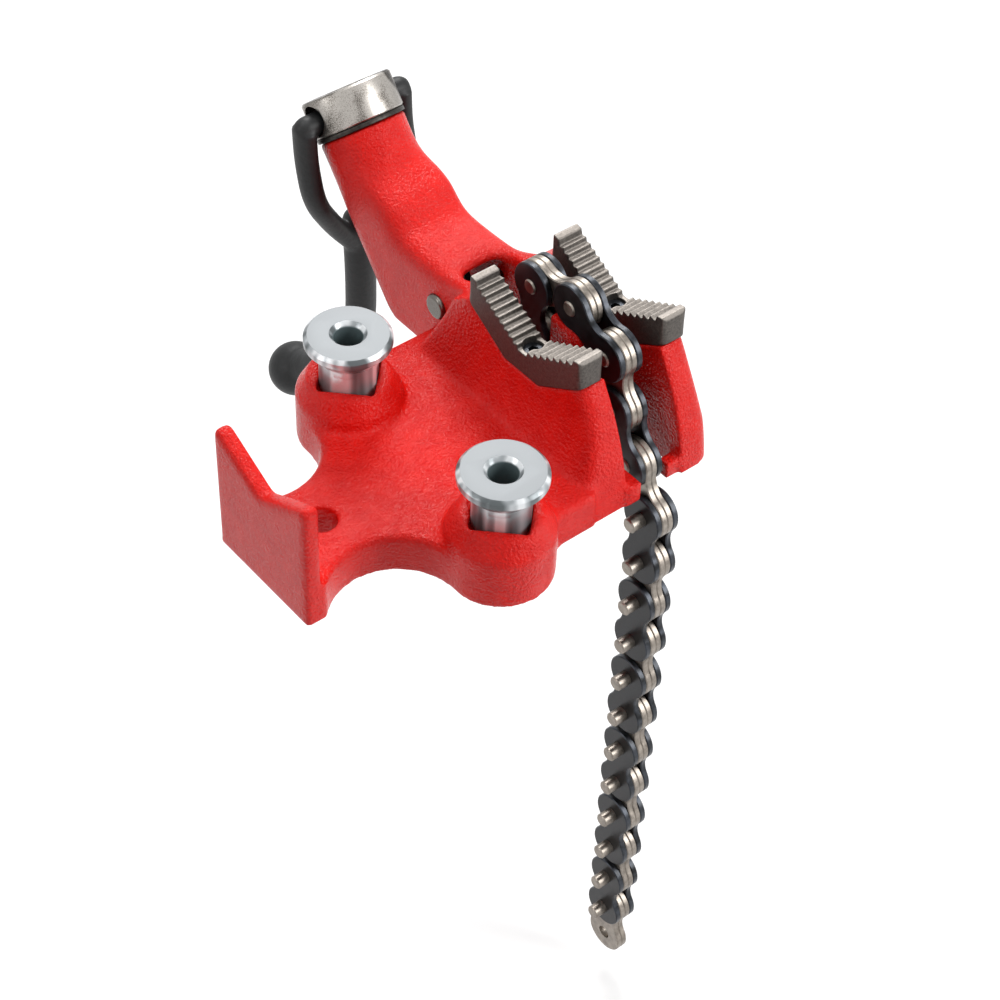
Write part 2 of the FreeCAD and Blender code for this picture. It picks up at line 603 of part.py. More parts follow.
def nut():
    body = Part.makeCylinder(NUT_R, NUT_H, on_axis(NUT_S), AXIS)
    body = body.makeChamfer(NUT_BEVEL, body.Edges)
    body = body.cut(Part.makeCylinder(SCREW_R + RUN_GAP, NUT_H + 2 * OVERRUN,
                                      on_axis(NUT_S - OVERRUN), AXIS))
    for out in (-1, 1):
        x_out = CHAIN_X + out * (NUT_R + OVERRUN)
        x_in = CHAIN_X + out * (NUT_R - NUT_HOLE_DEPTH)
        body = body.cut(across(NUT_BORE.y, NUT_BORE.z, min(x_in, x_out), max(x_in, x_out),
                               NUT_HOLE_R))
    return body


def screw():
    shank = Part.makeCylinder(SCREW_R, SCREW_TOP - TONGUE_TOP, on_axis(TONGUE_TOP), AXIS)
    half_t = PLATE_T - SEAT_GAP
    x0 = CHAIN_X - half_t
    eye = across(EYE.y, EYE.z, x0, x0 + 2 * half_t, TONGUE_R)
    a = on_axis(EYE_S, TONGUE_R)
    b = on_axis(TONGUE_TOP + OVERRUN, TONGUE_R - RUN_GAP)
    c = on_axis(TONGUE_TOP + OVERRUN, RUN_GAP - TONGUE_R)
    d = on_axis(EYE_S, -TONGUE_R)
    strap = side_shape([(p.y, p.z) for p in (a, b, c, d)], x0, x0 + 2 * half_t)
    body = shank.fuse(eye).fuse(strap)
    return body.cut(across(EYE.y, EYE.z, x0 - OVERRUN, x0 + 2 * half_t + OVERRUN, PIN_R + RUN_GAP))


def bent_rod(points, half_x, half_y):
    """Oval rod along straight runs joined by tangent arcs through the corners."""
    edges = []
    start = points[0]
    for before, corner, after in zip(points, points[1:], points[2:]):
        to_back = (before - corner).normalize()
        to_front = (after - corner).normalize()
        opening = to_back.getAngle(to_front)
        run = BEND_SHARE * min((before - corner).Length, (after - corner).Length)
        inward = (to_back + to_front).normalize()
        radius = run * math.tan(opening / 2)
        centre = corner + inward * (run / math.cos(opening / 2))
        p = corner + to_back * run
        q = corner + to_front * run
        edges.append(Part.LineSegment(start, p).toShape())
        edges.append(Part.Arc(p, centre - inward * radius, q).toShape())
        start = q
    edges.append(Part.LineSegment(start, points[-1]).toShape())
    if half_x == half_y:
        ring = Part.makeCircle(half_x, points[0], points[1] - points[0])
    else:
        ring = Part.Ellipse(points[0] + V(0, half_y, 0), points[0] + V(half_x, 0, 0),
                            points[0]).toShape()
    return Part.Wire(edges).makePipeShell([Part.Wire(ring)], True, False)


def handle():
    """Forged fork: two prongs that hook at the nut's bores, a bent shank and a knob."""
    h = HINGE
    crotch = V(CHAIN_X, h.y, h.z - FORK_L)
    tip = NUT_R + REST_GAP
    body = None
    for out in (-1, 1):
        path = [V(CHAIN_X + out * (FORK_X * x), h.y - FORK_BACK * back, h.z - FORK_L * down)
                for x, back, down in PRONG_SHARES]
        prong = bent_rod(path, PRONG_HALF_X, PRONG_HALF_Y).fuse(Part.makeSphere(PRONG_HALF_X, path[0]))
        hook = across(h.y, h.z, min(CHAIN_X + out * tip, path[0].x),
                      max(CHAIN_X + out * tip, path[0].x), HOOK_R)
        prong = prong.fuse(hook)
        body = prong if body is None else body.fuse(prong)
    path = [V(CHAIN_X, crotch.y - FORK_BACK / 2 + GRIP_OUT * out, crotch.z - GRIP_L * down)
            for out, down in GRIP_SHARES]
    body = body.fuse(bent_rod(path, SHANK_R, SHANK_R)).fuse(Part.makeSphere(SHANK_R, path[0]))
    centre = path[-1]
    along = (path[-1] - path[-2]).normalize()
    neck = Part.makeCone(SHANK_R - RUN_GAP, KNOB_NECK_R, KNOB_NECK_L, centre - along * KNOB_NECK_L,
                         along)
    ball = Part.makeSphere(KNOB_R, centre, along)
    flat = Part.makeCylinder(KNOB_R + OVERRUN, KNOB_R + KNOB_FLAT, centre - along * KNOB_R, along)
    knob = ball.common(flat).fuse(neck)
    return body.fuse(knob).removeSplitter()


# Chain
def place_laid_pins():
    """Pins A, B and on to the free end."""
    pins = [V(CHAIN_X, PIN_A_Y, PIN_A_Z)]
    for angle in LAID_ANGLES + [0.0] * HANGING_LINKS:
        turn = math.radians(angle)
        pins.append(pins[-1] + V(0, -math.sin(turn), -math.cos(turn)) * PITCH)
    return pins


def place_drawn_pins(last):
    """Pins from the screw's eye to the one before last, which is pin Z."""
    pins = [EYE]
    for angle in DRAWN_ANGLES:
        rise = math.radians(angle)
        pins.append(pins[-1] + V(0, -math.cos(rise), math.sin(rise)) * PITCH)
    across_gap = last - pins[-1]
    height = math.sqrt(PITCH ** 2 - (across_gap.Length / 2) ** 2)
    down = V(0, across_gap.z, -across_gap.y).normalize()
    if down.z > 0:
        down = down * -1
    pins.append(pins[-1] + across_gap / 2 + down * height)
    return pins


def plate(p, q, x0, x1, hole_p, hole_q):
    """Waisted link plate between pins p and q, from x0 to x1, with its two holes."""
    length = (q - p).Length
    neck = ((length / 2) ** 2 + WAIST_HALF ** 2 - LOBE_R ** 2) / (2 * (LOBE_R - WAIST_HALF))
    reach = LOBE_R + neck
    touch_y = LOBE_R * (length / 2) / reach
    touch_z = LOBE_R * (WAIST_HALF + neck) / reach
    mid = length / 2
    sides = []
    for up in (1, -1):
        a = V(0, touch_y, up * touch_z)
        b = V(0, mid, up * WAIST_HALF)
        c = V(0, length - touch_y, up * touch_z)
        sides.append(Part.Arc(a, b, c).toShape())
    end_p = Part.Arc(V(0, touch_y, touch_z), V(0, -LOBE_R, 0), V(0, touch_y, -touch_z)).toShape()
    end_q = Part.Arc(V(0, length - touch_y, -touch_z), V(0, length + LOBE_R, 0),
                     V(0, length - touch_y, touch_z)).toShape()
    ring = Part.Wire(Part.sortEdges([sides[0], end_q, sides[1], end_p])[0])
    body = Part.Face(ring).extrude(V(x1 - x0, 0, 0))
    body = body.makeChamfer(PLATE_BEVEL, body.Edges)
    for centre, r in ((0, hole_p), (length, hole_q)):
        body = body.cut(across(centre, 0, -OVERRUN, x1 - x0 + OVERRUN, r))
    turn = math.degrees(math.atan2(q.z - p.z, q.y - p.y))
    body.rotate(V(0, 0, 0), V(1, 0, 0), turn)
    body.translate(V(x0, p.y, p.z))
    return body


def inner_link(p, q, hole_q):
    plates = [plate(p, q, CHAIN_X - PLATE_T, CHAIN_X, PIN_R + RUN_GAP, hole_q),
              plate(p, q, CHAIN_X, CHAIN_X + PLATE_T, PIN_R + RUN_GAP, hole_q)]
    return Part.makeCompound(plates)


def outer_plates(p, q):
    hole = PIN_R + RUN_GAP
    plates = [plate(p, q, CHAIN_X - OUTER_FACE, CHAIN_X - INNER_FACE, hole, hole),
              plate(p, q, CHAIN_X + INNER_FACE, CHAIN_X + OUTER_FACE, hole, hole)]
    return Part.makeCompound(plates)


def link_pins(p, q, long):
    """The two rivets of an outer link; long ones stand out on the rest's side."""
    pins = []
    reach = PIN_REACH if long else PIN_HEAD
    for centre in (p, q):
        pin = across(centre.y, centre.z, CHAIN_X - OUTER_FACE - reach,
                     CHAIN_X + OUTER_FACE + PIN_HEAD, PIN_R)
        pins.append(pin.makeChamfer(PIN_BEVEL, pin.Edges))
    return Part.makeCompound(pins)


laid_pins = place_laid_pins()
tail_turn = math.radians(TAIL_TURN)
pin_z = laid_pins[0] + V(0, math.sin(tail_turn), math.cos(tail_turn)) * PITCH
drawn_pins = place_drawn_pins(pin_z)
chain_pins = drawn_pins + [pin_z] + laid_pins
open_pivot = len(drawn_pins)

save("base_casting", base_casting())
save("spool_back", spool(1))
save("spool_front", spool(-1))
save("jaw_near", jaw(0))
save("jaw_far", jaw(1))
save("jaw_screws", jaw_screws())
save("guide_pin", guide_pin())
save("washer", washer())
save("nut", nut())
save("screw", screw())
save("handle", handle())
for k in range(1, len(chain_pins)):
    name = "link_%02d" % k
    p = chain_pins[k - 1]
    q = chain_pins[k]
    if k % 2:
        long = k >= open_pivot + 2 * SHORT_PIN_LINKS
        save(name + "_plates", outer_plates(p, q))
        save(name + "_pins", link_pins(p, q, long))
    else:
        save(name + "_plates", inner_link(p, q, OPEN_PIVOT_R if k == open_pivot else PIN_R + RUN_GAP))
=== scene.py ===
import math

import bmesh
import bpy
import numpy as np
from mathutils import Matrix, Vector


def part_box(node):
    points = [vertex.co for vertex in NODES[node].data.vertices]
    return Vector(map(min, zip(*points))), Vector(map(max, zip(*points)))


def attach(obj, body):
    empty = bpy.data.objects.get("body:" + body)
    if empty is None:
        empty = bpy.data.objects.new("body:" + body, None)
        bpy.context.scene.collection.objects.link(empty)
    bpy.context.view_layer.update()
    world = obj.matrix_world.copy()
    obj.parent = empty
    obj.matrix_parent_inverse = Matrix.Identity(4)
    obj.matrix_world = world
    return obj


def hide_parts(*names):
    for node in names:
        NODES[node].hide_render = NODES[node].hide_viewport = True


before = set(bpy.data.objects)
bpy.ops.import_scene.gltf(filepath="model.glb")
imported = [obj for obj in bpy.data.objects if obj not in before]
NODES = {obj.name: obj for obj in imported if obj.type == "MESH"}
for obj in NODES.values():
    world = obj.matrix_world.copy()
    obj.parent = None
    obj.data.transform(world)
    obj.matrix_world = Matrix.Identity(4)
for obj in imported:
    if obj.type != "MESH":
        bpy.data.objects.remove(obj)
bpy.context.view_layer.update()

MM = 0.001

# The photograph's camera, solved from the chain's pins, the spools and the foot.
CAMERA_MM = Vector((-433.807, -548.885, 700.810))
CAMERA_RIGHT = Vector((0.77434, -0.63204, 0.03037))
CAMERA_DOWN = Vector((-0.43140, -0.56242, -0.70539))
CAMERA_AHEAD = Vector((0.46292, 0.53311, -0.70816))
FOCAL_PX = 2369.67
IMAGE_PX = 1000
SENSOR_MM = 36.0

FLOOR_Z = -0.345              # metres: just under the end of the hanging chain
FLOOR_REACH = 3.0             # metres, each way
FLOOR_GLOW = 0.45             # lifts the lit paint to white where it is seen
WORLD_LIGHT = 0.35

# Places on the vise, in millimetres, as the solids have them
CHAIN_X = 80.2
SPOOL_Y = 50.7
BOLT_R = 6.2
COLUMN_FOOT_Y = 92.0
COLUMN_LEAN = math.radians(40.0)
COLUMN_TOP = 87.4
GUIDE_Y, GUIDE_Z = 66.7, 28.0
CENTRE_BOLT_X = -52.0
BORE_S = 98.0                 # the nut's cross bores, along the column's axis
NUT_R = 21.3
HOOK_R = 5.2
HOOK_DROP = 1.6               # the hooks hang this far below the bores' centre
HOOK_IN = 5.0                 # and reach this far into them
JAW_W = 13.0
JAW_X = (57.65, 102.75)
STRIP_HALF, STRIP_Z = 2.7, 52.4
FLANK_Y, FLANK_Z = 27.5, 14.7  # width and height of a jaw's toothed flank
TOOTH_COUNTS = (7, 9)         # on the front flank and on the one towards the column
TOOTH_LEAN = 0.18             # the steep side's part of a tooth's width
TOOTH_HOOK = 1.42             # its height, in rises of the flank from tooth to tooth
JAW_END = ((31.0, 70.2), (34.3, 70.8), (35.5, 69.1), (36.6, 57.6), (11.0, 42.0))
JAW_CORNER = 3.4              # rounding of the corners at a jaw's ends
SINK_R, SINK_FLOOR = 4.5, 45.9
HOOK_SIDES, SINK_SIDES = 40, 48  # flat faces round a hook and round a screw's hole

# Places where the casting keeps its solid's corners, because it is machined or carries a piece
POCKET_R, POCKET_TOP = 15.5, 28.0          # round each spool
PAD_R = 8.0                                # round the centre bolt
SEAT_X, SEAT_Y, SEAT_Z = 31.0, 37.0, 40.0  # half length and half width under the jaws, least height
SLOT_X, SLOT_Y = 14.0, 44.0                # the chain's slot: half width, and how far back it goes
GUIDE_R = 7.0                              # round the cross rivet
TURNED_TOP = 1.5                           # of the column, under the washer
BENCH_Z = 0.5                              # of the foot, over the bench
COLUMN_Z, COLUMN_Y = 46.0, 62.0            # the column proper is above and behind these

WELD_MM = 0.001
SETTLE_PASSES = 6             # passes that only even out the remeshed surface
FLAT_TURN = math.radians(0.5)    # faces that turn less than this are one face
BROKEN_TURN = math.radians(30)   # an edge that turns more than this is broken
SHARP_TURN = math.radians(35)    # and one that turns more than this is shaded sharp

# Sizes of the patterns on the finishes and of the painted reflections, in millimetres
SAND_GRAIN = 1.2              # drawn coarser than the real sand, so that it shows
SAND_SWELL = 7.0
REFLECTION_STREAK = 7.0                  # of painted reflection, light and dark, round a spool's side
DRAWN_OUT = 0.06              # their share of height that is kept, which makes them tall
REFLECTION_BAND = 11.0                   # of painted reflection round the nut
PIT = 0.45


def linear(code):
    """An sRGB hex colour as the linear red, green, blue and alpha that shaders use."""
    parts = [int(code[k:k + 2], 16) / 255 for k in (1, 3, 5)]
    return [c / 12.92 if c <= 0.04045 else ((c + 0.055) / 1.055) ** 2.4 for c in parts] + [1.0]


def add_node(tree, kind, inputs=None, stops=(), **settings):
    """A shader node with its settings and links.

    An input is either a value or another node's socket. Stops are the (position, hex colour)
    pairs of a colour ramp.
    """
    node = tree.nodes.new(kind)
    for name, value in settings.items():
        setattr(node, name, value)
    for name, value in (inputs or {}).items():
        if isinstance(value, bpy.types.NodeSocket):
            tree.links.new(value, node.inputs[name])
        else:
            node.inputs[name].default_value = value
    while stops and len(node.color_ramp.elements) < len(stops):
        node.color_ramp.elements.new(0.5)
    for number, (position, code) in enumerate(stops):
        node.color_ramp.elements[number].position = position
        node.color_ramp.elements[number].color = linear(code)
    return node


def new_material(name):
    """An empty material, its node tree, and the place on the object that its patterns lie at."""
    material = bpy.data.materials.new(name)
    material.use_nodes = True
    tree = material.node_tree
    tree.nodes.clear()
    place = add_node(tree, "ShaderNodeTexCoord").outputs["Object"]
    return material, tree, place


def finish_material(material, tree, sockets):
    """Gives a material its shader, with these values or links on the shader's own sockets."""
    shader = add_node(tree, "ShaderNodeBsdfPrincipled", sockets)
    add_node(tree, "ShaderNodeOutputMaterial", {"Surface": shader.outputs["BSDF"]})
    return material


def red_enamel():
    """Sprayed and baked enamel on grey iron: glossy, but pebbled by the sand skin under it."""
    material, tree, place = new_material("red enamel on cast iron")
    pebbles = add_node(tree, "ShaderNodeTexNoise", {
        "Vector": place, "Scale": 1 / (SAND_GRAIN * MM), "Detail": 2.0})
    swell = add_node(tree, "ShaderNodeTexNoise", {
        "Vector": place, "Scale": 1 / (SAND_SWELL * MM), "Detail": 2.0})
    waves = add_node(tree, "ShaderNodeBump", {
        "Height": swell.outputs["Fac"], "Distance": 0.5 * MM, "Strength": 0.5})
    skin = add_node(tree, "ShaderNodeBump", {
        "Height": pebbles.outputs["Fac"], "Distance": 1.0 * MM, "Strength": 0.9,
        "Normal": waves.outputs["Normal"]})
    colour = add_node(tree, "ShaderNodeValToRGB", {"Fac": swell.outputs["Fac"]},
                      [(0.3, "#D1140F"), (0.7, "#DC1A13")])
    return finish_material(material, tree, {
        "Base Color": colour.outputs["Color"], "Metallic": 0.0, "Roughness": 0.22,
        "Specular IOR Level": 0.18, "Normal": skin.outputs["Normal"]})


def bright_zinc():
    """Zinc plated turning: matt faced top, glossier sides with painted reflection streaks of light
    and dark, and a bore the plate hardly reached.
    """
    material, tree, place = new_material("bright zinc plate")
    around = add_node(tree, "ShaderNodeSeparateXYZ", {"Vector": place}).outputs
    aside = add_node(tree, "ShaderNodeMath", {0: around["Y"]}, operation="ABSOLUTE")
    aside = add_node(tree, "ShaderNodeMath", {0: aside.outputs[0], 1: SPOOL_Y * MM},
                     operation="SUBTRACT")
    flat = add_node(tree, "ShaderNodeCombineXYZ", {"X": around["X"], "Y": aside.outputs[0]})
    radius = add_node(tree, "ShaderNodeVectorMath", {0: flat.outputs[0]}, operation="LENGTH")
    plated = add_node(tree, "ShaderNodeMapRange", {
        "Value": radius.outputs["Value"], "From Min": (BOLT_R + 0.1) * MM,
        "From Max": (BOLT_R + 0.5) * MM}).outputs["Result"]
    facing = add_node(tree, "ShaderNodeNewGeometry").outputs["Normal"]
    up = add_node(tree, "ShaderNodeSeparateXYZ", {"Vector": facing}).outputs["Z"]
    faced = add_node(tree, "ShaderNodeMapRange", {
        "Value": up, "From Min": 0.75, "From Max": 0.98}).outputs["Result"]
    # painted reflection: tall streaks of light and dark round the side, as the side's colour
    tall = add_node(tree, "ShaderNodeVectorMath", {0: place, 1: (1.0, 1.0, DRAWN_OUT)},
                    operation="MULTIPLY")
    painted_reflection_streaks = add_node(tree, "ShaderNodeTexNoise", {
        "Vector": tall.outputs[0], "Scale": 1 / (REFLECTION_STREAK * MM), "Detail": 1.0})
    side = add_node(tree, "ShaderNodeValToRGB", {"Fac": painted_reflection_streaks.outputs["Fac"]},
                    [(0.38, "#5E6466"), (0.5, "#A4A9AC"), (0.6, "#E4E7E9")])
    shell = add_node(tree, "ShaderNodeMix", {
        "Factor": faced, "A": side.outputs["Color"], "B": linear("#929597")}, data_type="RGBA")
    colour = add_node(tree, "ShaderNodeMix", {
        "Factor": plated, "A": linear("#5A6769"), "B": shell.outputs["Result"]},
        data_type="RGBA")
    rough = add_node(tree, "ShaderNodeMapRange", {"Value": faced, "To Min": 0.28, "To Max": 0.68})
    metal = add_node(tree, "ShaderNodeMapRange", {"Value": faced, "To Min": 0.4, "To Max": 1.0})
    metal = add_node(tree, "ShaderNodeMath", {0: metal.outputs["Result"], 1: plated},
                     operation="MULTIPLY")
    return finish_material(material, tree, {
        "Base Color": colour.outputs["Result"], "Metallic": metal.outputs[0],
        "Roughness": rough.outputs["Result"]})


def phosphate_jaw():
    """Hardened steel with a dark phosphate skin, painted paler on the faces that look up as painted
    top light.
    """
    material, tree, place = new_material("phosphated jaw steel")
    skin = add_node(tree, "ShaderNodeTexNoise", {
        "Vector": place, "Scale": 1 / (1.0 * MM), "Detail": 4.0, "Roughness": 0.6}).outputs["Fac"]
    # painted top light: faces that look up get the paler tone, the others the darker one
    facing = add_node(tree, "ShaderNodeNewGeometry").outputs["Normal"]
    up = add_node(tree, "ShaderNodeSeparateXYZ", {"Vector": facing}).outputs["Z"]
    painted_top_light = add_node(tree, "ShaderNodeMapRange", {"Value": up, "From Min": 0.5, "From Max": 0.95})
    dark = add_node(tree, "ShaderNodeValToRGB", {"Fac": skin}, [(0.3, "#3F3B38"), (0.7, "#625D58")])
    pale = add_node(tree, "ShaderNodeValToRGB", {"Fac": skin}, [(0.3, "#6E6863"), (0.7, "#98918A")])
    colour = add_node(tree, "ShaderNodeMix", {
        "Factor": painted_top_light.outputs["Result"], "A": dark.outputs["Color"],
        "B": pale.outputs["Color"]}, data_type="RGBA")
    rough = add_node(tree, "ShaderNodeMapRange", {
        "Value": skin, "From Min": 0.3, "From Max": 0.7, "To Min": 0.4, "To Max": 0.55})
    milled = add_node(tree, "ShaderNodeTexNoise", {
        "Vector": place, "Scale": 1 / (0.7 * MM), "Detail": 3.0})
    normal = add_node(tree, "ShaderNodeBump", {
        "Height": milled.outputs["Fac"], "Distance": 0.12 * MM, "Strength": 0.5})
    return finish_material(material, tree, {
        "Base Color": colour.outputs["Result"], "Metallic": 0.7,
        "Roughness": rough.outputs["Result"], "Normal": normal.outputs["Normal"]})


def turned_steel():
    """Bare machined nut: painted reflection in light and dark bands along its axis, with a speckle
    of dark pits.
    """
    material, tree, place = new_material("turned bare steel")
    # painted reflection: broad light and dark bands along the axis
    lie = add_node(tree, "ShaderNodeMapping", {
        "Vector": place, "Rotation": (COLUMN_LEAN, 0, 0), "Scale": (1.0, 1.0, 0.08)})
    reflection_bands = add_node(tree, "ShaderNodeTexNoise", {
        "Vector": lie.outputs[0], "Scale": 1 / (REFLECTION_BAND * MM), "Detail": 1.0})
    reflection_bands = add_node(tree, "ShaderNodeMapRange", {
        "Value": reflection_bands.outputs["Fac"], "From Min": 0.4, "From Max": 0.6,
        "To Min": -0.14, "To Max": 0.16})
    pits = add_node(tree, "ShaderNodeTexNoise", {
        "Vector": place, "Scale": 1 / (PIT * MM), "Detail": 4.0, "Roughness": 0.7}).outputs["Fac"]
    # the pits are the steel's own; the bands added to them are painted reflection
    mixed = add_node(tree, "ShaderNodeMath", {0: pits, 1: reflection_bands.outputs["Result"]},
                     operation="ADD").outputs[0]
    colour = add_node(tree, "ShaderNodeValToRGB", {"Fac": mixed},
                      [(0.32, "#34312F"), (0.48, "#736E68"), (0.66, "#B5B0AA")])
    rough = add_node(tree, "ShaderNodeMapRange", {
        "Value": mixed, "From Min": 0.3, "From Max": 0.7, "To Min": 0.42, "To Max": 0.28})
    normal = add_node(tree, "ShaderNodeBump", {
        "Height": pits, "Distance": 0.05 * MM, "Strength": 0.4})
    return finish_material(material, tree, {
        "Base Color": colour.outputs["Color"], "Metallic": 1.0,
        "Roughness": rough.outputs["Result"], "Normal": normal.outputs["Normal"]})


def stamped_steel():
    """Bare chain steel, oiled: warm grey with fine scratches."""
    material, tree, place = new_material("bare chain steel")
    film = add_node(tree, "ShaderNodeTexNoise", {
        "Vector": place, "Scale": 1 / (3.0 * MM), "Detail": 4.0, "Roughness": 0.6}).outputs["Fac"]
    colour = add_node(tree, "ShaderNodeValToRGB", {"Fac": film},
                      [(0.3, "#746D66"), (0.7, "#9E968D")])
    rough = add_node(tree, "ShaderNodeMapRange", {
        "Value": film, "From Min": 0.3, "From Max": 0.7, "To Min": 0.32, "To Max": 0.48})
    scratches = add_node(tree, "ShaderNodeTexNoise", {
        "Vector": place, "Scale": 1 / (0.6 * MM), "Detail": 3.0})
    normal = add_node(tree, "ShaderNodeBump", {
        "Height": scratches.outputs["Fac"], "Distance": 0.05 * MM, "Strength": 0.4})
    return finish_material(material, tree, {
        "Base Color": colour.outputs["Color"], "Metallic": 1.0,
        "Roughness": rough.outputs["Result"], "Normal": normal.outputs["Normal"]})


def black_oxide():
    """Blued spring steel plate: black faces, and a painted glint of lighter bluish grey on its
    edges.
    """
    material, tree, place = new_material("black oxide plate")
    film = add_node(tree, "ShaderNodeTexNoise", {
        "Vector": place, "Scale": 1 / (4.0 * MM), "Detail": 3.0}).outputs["Fac"]
    # painted glint: faces that do not look along X, the plates' edges and chamfers, get the lighter
    # bluish edge colour
    facing = add_node(tree, "ShaderNodeNewGeometry").outputs["Normal"]
    sideways = add_node(tree, "ShaderNodeSeparateXYZ", {"Vector": facing}).outputs["X"]
    sideways = add_node(tree, "ShaderNodeMath", {0: sideways}, operation="ABSOLUTE")
    face = add_node(tree, "ShaderNodeValToRGB", {"Fac": film}, [(0.3, "#151517"), (0.7, "#232427")])
    edge = add_node(tree, "ShaderNodeValToRGB", {"Fac": film},
                    [(0.35, "#17191C"), (0.65, "#3A3E45")])
    on_face = add_node(tree, "ShaderNodeMapRange", {
        "Value": sideways.outputs[0], "From Min": 0.75, "From Max": 0.95})
    colour = add_node(tree, "ShaderNodeMix", {
        "Factor": on_face.outputs["Result"], "A": edge.outputs["Color"],
        "B": face.outputs["Color"]}, data_type="RGBA")
    rough = add_node(tree, "ShaderNodeMapRange", {
        "Value": film, "From Min": 0.3, "From Max": 0.7, "To Min": 0.28, "To Max": 0.4})
    rolled = add_node(tree, "ShaderNodeTexNoise", {
        "Vector": place, "Scale": 1 / (0.8 * MM), "Detail": 3.0})
    normal = add_node(tree, "ShaderNodeBump", {
        "Height": rolled.outputs["Fac"], "Distance": 0.05 * MM, "Strength": 0.4})
    return finish_material(material, tree, {
        "Base Color": colour.outputs["Result"], "Metallic": 0.6,
        "Roughness": rough.outputs["Result"], "Normal": normal.outputs["Normal"]})


def washer_steel():
    """Dark rolled washer with a film of oil."""
    material, tree, place = new_material("dark rolled steel")
    film = add_node(tree, "ShaderNodeTexNoise", {
        "Vector": place, "Scale": 1 / (2.0 * MM), "Detail": 4.0, "Roughness": 0.6})
    colour = add_node(tree, "ShaderNodeValToRGB", {"Fac": film.outputs["Fac"]},
                      [(0.3, "#24211F"), (0.7, "#46423E")])
    return finish_material(material, tree, {
        "Base Color": colour.outputs["Color"], "Metallic": 0.8, "Roughness": 0.4})


def forged_black():
    """Drop forging with a matt black dip: scale under the film makes it uneven."""
    material, tree, place = new_material("black forging")
    scale = add_node(tree, "ShaderNodeTexNoise", {
        "Vector": place, "Scale": 1 / (2.0 * MM), "Detail": 4.0, "Roughness": 0.6}).outputs["Fac"]
    colour = add_node(tree, "ShaderNodeValToRGB", {"Fac": scale},
                      [(0.3, "#0E0F10"), (0.7, "#191A1B")])
    normal = add_node(tree, "ShaderNodeBump", {
        "Height": scale, "Distance": 0.3 * MM, "Strength": 0.6})
    return finish_material(material, tree, {
        "Base Color": colour.outputs["Color"], "Metallic": 0.0, "Roughness": 0.5,
        "Specular IOR Level": 0.35, "Normal": normal.outputs["Normal"]})


def polished_rivet():
    """Cold headed stainless rivet with a rubbed dome."""
    material, tree, place = new_material("stainless rivet")
    film = add_node(tree, "ShaderNodeTexNoise", {
        "Vector": place, "Scale": 1 / (1.5 * MM), "Detail": 3.0})
    rough = add_node(tree, "ShaderNodeMapRange", {
        "Value": film.outputs["Fac"], "From Min": 0.3, "From Max": 0.7,
        "To Min": 0.2, "To Max": 0.36})
    return finish_material(material, tree, {
        "Base Color": linear("#6E6964"), "Metallic": 1.0, "Roughness": rough.outputs["Result"]})


def coat(node, material):
    """Gives a solid that shows as it is its finish."""
    mesh = NODES[node].data
    mesh.materials.clear()
    mesh.materials.append(material)


def numbers(items, field, width, kind=np.float32):
    """A field of a mesh's vertices, edges or normals as an array with one row for each."""
    out = np.empty(len(items) * width, kind)
    items.foreach_get(field, out)
    return out.reshape(-1, width)


def welded(node):
    """A copy of a node's solid with its faces joined along their edges."""
    mesh = NODES[node].data.copy()
    work = bmesh.new()
    work.from_mesh(mesh)
    bmesh.ops.remove_doubles(work, verts=work.verts[:], dist=WELD_MM * MM)
    work.to_mesh(mesh)
    work.free()
    return mesh


def through(mesh, kind, **settings):
    """The mesh after one modifier."""
    holder = bpy.data.objects.new("holder", mesh)
    bpy.context.scene.collection.objects.link(holder)
    modifier = holder.modifiers.new("step", kind)
    for name, value in settings.items():
        setattr(modifier, name, value)
    seen = holder.evaluated_get(bpy.context.evaluated_depsgraph_get())
    made = bpy.data.meshes.new_from_object(seen)
    bpy.data.objects.remove(holder)
    return made


def blend_corners(mesh, passes, shares):
    """Fills inside corners and wears outside ones; shares(points) gives both amounts."""
    points = numbers(mesh.vertices, "co", 3)
    ends = numbers(mesh.edges, "vertices", 2, np.int32)
    pairs = np.concatenate([ends, ends[:, ::-1]])
    pairs = pairs[np.argsort(pairs[:, 0], kind="stable")]
    count = np.bincount(pairs[:, 0], minlength=len(points))
    start = np.cumsum(count) - count
    fill, wear = shares(points / MM)
    for step in range(passes):
        pull = np.add.reduceat(points[pairs[:, 1]], start) / count[:, None] - points
        outward = (pull * numbers(mesh.vertex_normals, "vector", 3)).sum(axis=1) > 0
        amount = np.where(outward, fill, wear)
        if step < SETTLE_PASSES:
            amount = np.maximum(amount, 0.8)
        points = points + pull * (0.5 * amount)[:, None]
        mesh.vertices.foreach_set("co", points.ravel())
        mesh.update()


def near(distance, core, fade):
    """1 within core millimetres, falling to 0 over the next fade millimetres."""
    return np.clip((core + fade - distance) / fade, 0.0, 1.0)


